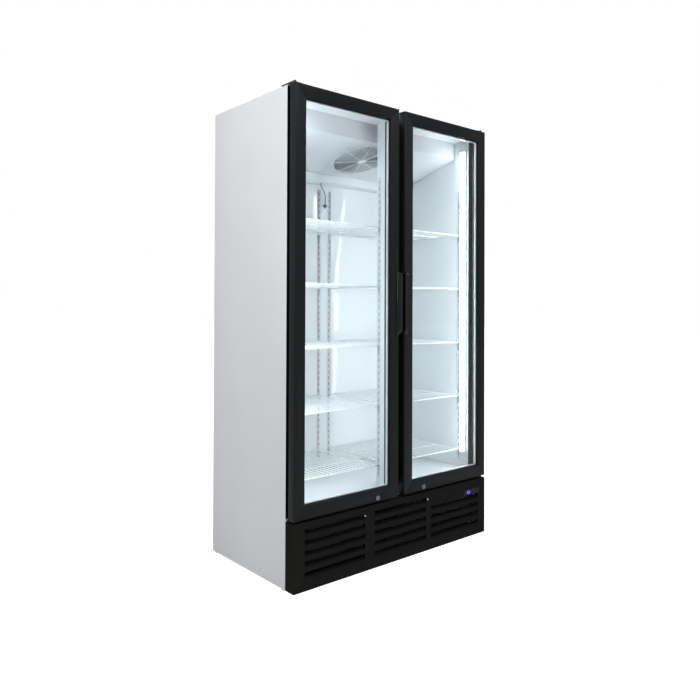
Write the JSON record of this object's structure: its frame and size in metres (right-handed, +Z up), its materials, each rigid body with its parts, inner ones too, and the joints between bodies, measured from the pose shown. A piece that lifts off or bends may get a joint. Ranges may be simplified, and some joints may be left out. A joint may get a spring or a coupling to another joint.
{
  "type": "glass door merchandiser",
  "caption": "Upright display refrigerator with glazed swing doors, wire shelves in lit bays, a ceiling evaporator with a fan, and a louvred plinth over the machine space.",
  "frame": {"origin": "on the floor, under the middle of the width and of the depth measured over the door handles", "axes": "+X to the right seen from the front, -Y the front with the doors, +Z up"},
  "size_m": [1.166, 0.648, 2.011],
  "materials": {
    "white_sheet": "satin powder coat",
    "white_lining": "gloss coil-coated sheet",
    "galvanised_sheet": "spangled zinc",
    "rigid_foam": "closed-cell foam",
    "white_trim": "satin extruded plastic",
    "black_grille": "textured moulded plastic",
    "black_profile": "satin black anodised profile",
    "black_gloss": "polished moulded plastic",
    "display_window": "tinted window with lit digits",
    "key_plastic": "moulded keys",
    "zinc_hardware": "bright zinc plating",
    "black_steel": "black paint on steel",
    "coated_wire": "white dip coating",
    "aluminium": "mill finish",
    "light_diffuser": "opal diffuser over white light",
    "clear_glass": "polished float glass",
    "gasket_rubber": "soft extruded bellows",
    "chrome": "polished plating",
    "copper_pipe": "drawn copper tube",
    "mount_rubber": "moulded rubber",
    "nylon": "natural nylon",
    "lead_plastic": "soft black sheath"
  },
  "bodies": {
    "cabinet": {"side_panels": "white_sheet", "top_panel": "white_sheet", "rear_panel": "galvanised_sheet", "insulation_foam": "rigid_foam", "liner_back": "white_lining", "liner_side_walls": "white_lining", "liner_floor_and_ceiling": "white_lining", "front_frame": "white_trim", "centre_mullion": "white_lining", "base_frame": "galvanised_sheet", "levelling_feet": "zinc_hardware", "plinth_grille": "black_grille", "controller_housing": "black_gloss", "controller_display": "display_window", "shelf_pilasters": "white_sheet", "shelf_clips": "zinc_hardware", "led_channels": "aluminium", "led_diffusers": "light_diffuser", "evaporator_cover": "white_sheet", "fan_guard": "coated_wire", "fan_motors": "black_steel", "evaporator_coil": "aluminium", "drain_pan": "white_trim", "sensor_lead": "lead_plastic", "compressor": "black_steel", "compressor_mounts": "mount_rubber", "condenser_coil": "aluminium", "refrigerant_pipes": "copper_pipe", "condensate_tray": "black_grille", "electrical_box": "galvanised_sheet", "rear_grille": "galvanised_sheet", "hinge_brackets": "black_steel", "screws": "zinc_hardware", "shelf_level_1": "coated_wire", "shelf_level_2": "coated_wire", "shelf_level_3": "coated_wire", "shelf_level_4": "coated_wire", "shelf_level_5": "coated_wire"},
    "left_door": {"left_door_frame": "black_profile", "left_door_glass": "clear_glass", "left_glass_spacer": "aluminium", "left_door_gasket": "gasket_rubber", "left_door_handle": "black_gloss", "left_lock_barrel": "chrome", "left_hinge_bushes": "nylon"},
    "left_lock": {"left_lock_plug": "chrome"},
    "right_door": {"right_door_frame": "black_profile", "right_door_glass": "clear_glass", "right_glass_spacer": "aluminium", "right_door_gasket": "gasket_rubber", "right_door_handle": "black_gloss", "right_lock_barrel": "chrome", "right_hinge_bushes": "nylon"},
    "right_lock": {"right_lock_plug": "chrome"},
    "button_1": {"controller_button_1": "key_plastic"},
    "button_2": {"controller_button_2": "key_plastic"},
    "button_3": {"controller_button_3": "key_plastic"},
    "button_4": {"controller_button_4": "key_plastic"},
    "evaporator_fan": {"evaporator_fan_blade": "aluminium"},
    "condenser_fan": {"condenser_fan_blade": "aluminium"}
  },
  "joints": [
    {"name": "left_door_swing", "type": "hinge", "parent": "cabinet", "child": "left_door", "pos_m": [-0.567, -0.281, 0.286], "axis": [0, 0, -1], "range_deg": [0, 110], "stiffness_Nm_per_rad": 1.2},
    {"name": "right_door_swing", "type": "hinge", "parent": "cabinet", "child": "right_door", "pos_m": [0.567, -0.281, 0.286], "axis": [0, 0, 1], "range_deg": [0, 110], "stiffness_Nm_per_rad": 1.2},
    {"name": "left_lock_turn", "type": "hinge", "parent": "left_door", "child": "left_lock", "pos_m": [-0.142, -0.308, 0.302], "axis": [0, 1, 0], "range_deg": [0, 90]},
    {"name": "right_lock_turn", "type": "hinge", "parent": "right_door", "child": "right_lock", "pos_m": [0.142, -0.308, 0.302], "axis": [0, -1, 0], "range_deg": [0, 90]},
    {"name": "button_1_press", "type": "slide", "parent": "cabinet", "child": "button_1", "axis": [0, 1, 0], "range_m": [0, 0.001], "stiffness_N_per_m": 400, "springref_m": -0.0005},
    {"name": "button_2_press", "type": "slide", "parent": "cabinet", "child": "button_2", "axis": [0, 1, 0], "range_m": [0, 0.001], "stiffness_N_per_m": 400, "springref_m": -0.0005},
    {"name": "button_3_press", "type": "slide", "parent": "cabinet", "child": "button_3", "axis": [0, 1, 0], "range_m": [0, 0.001], "stiffness_N_per_m": 400, "springref_m": -0.0005},
    {"name": "button_4_press", "type": "slide", "parent": "cabinet", "child": "button_4", "axis": [0, 1, 0], "range_m": [0, 0.001], "stiffness_N_per_m": 400, "springref_m": -0.0005},
    {"name": "evaporator_fan_spin", "type": "hinge", "parent": "cabinet", "child": "evaporator_fan", "pos_m": [0.028, -0.001, 1.82738], "axis": [0, 0.2847, 0.9586], "continuous": true},
    {"name": "condenser_fan_spin", "type": "hinge", "parent": "cabinet", "child": "condenser_fan", "pos_m": [-0.28, -0.143, 0.131], "axis": [0, 1, 0], "continuous": true}
  ]
}
